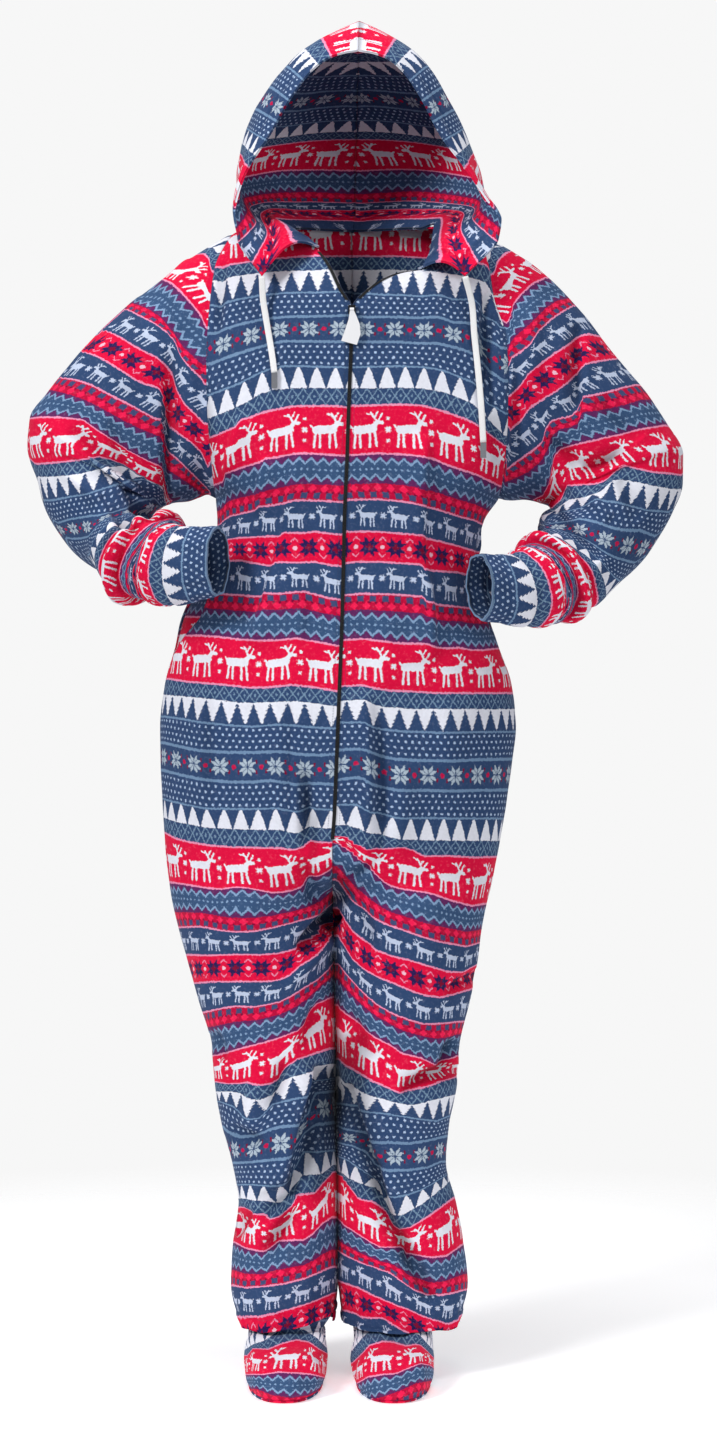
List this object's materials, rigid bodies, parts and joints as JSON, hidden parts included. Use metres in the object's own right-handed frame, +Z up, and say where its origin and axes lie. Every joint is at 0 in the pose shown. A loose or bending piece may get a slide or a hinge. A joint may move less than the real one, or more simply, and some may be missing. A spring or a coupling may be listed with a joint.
{
  "type": "hooded footed onesie pajama",
  "caption": "Loose one-piece printed fleece pajama with hood, front zip, drawstring, long sleeves, slant pockets and footed legs, held in a worn hands-on-hips pose.",
  "frame": {"origin": "between the shoulders at the neck, level with the shoulder line, where the wearer holds the garment up", "axes": "+Z up, the front faces -Y, +X toward the right of the picture"},
  "size_m": [0.8218, 0.3529, 1.688],
  "materials": {
    "fleece": "brushed fleece with a banded print in navy, mid blue, red and white",
    "sole": "brushed fleece",
    "zip": "matt black coil",
    "slider": "black paint",
    "tab": "matt white",
    "cord": "flat white braid",
    "tip": "bright metal"
  },
  "bodies": {
    "garment": {"front_panel_left": "fleece", "front_panel_right": "fleece", "back_panel_left": "fleece", "back_panel_right": "fleece", "sleeve_left": "fleece", "sleeve_right": "fleece", "hood_panel_left": "fleece", "hood_panel_right": "fleece", "pocket_piece_left": "fleece", "pocket_piece_right": "fleece", "foot_upper_left": "fleece", "foot_upper_right": "fleece", "sole_left": "sole", "sole_right": "sole", "zip_chain_closed": "zip", "zip_chain_open_left": "zip", "zip_chain_open_right": "zip", "zip_slider": "slider", "drawstring_left": "cord", "drawstring_right": "cord", "cord_tip_left": "tip", "cord_tip_right": "tip"},
    "pull_tab": {"pull_tab": "tab"}
  },
  "joints": [
    {"name": "tab_swing", "type": "hinge", "parent": "garment", "child": "pull_tab", "pos_m": [0, -0.126, -0.092], "axis": [-1, 0, 0], "range_deg": [-3, 150]}
  ]
}
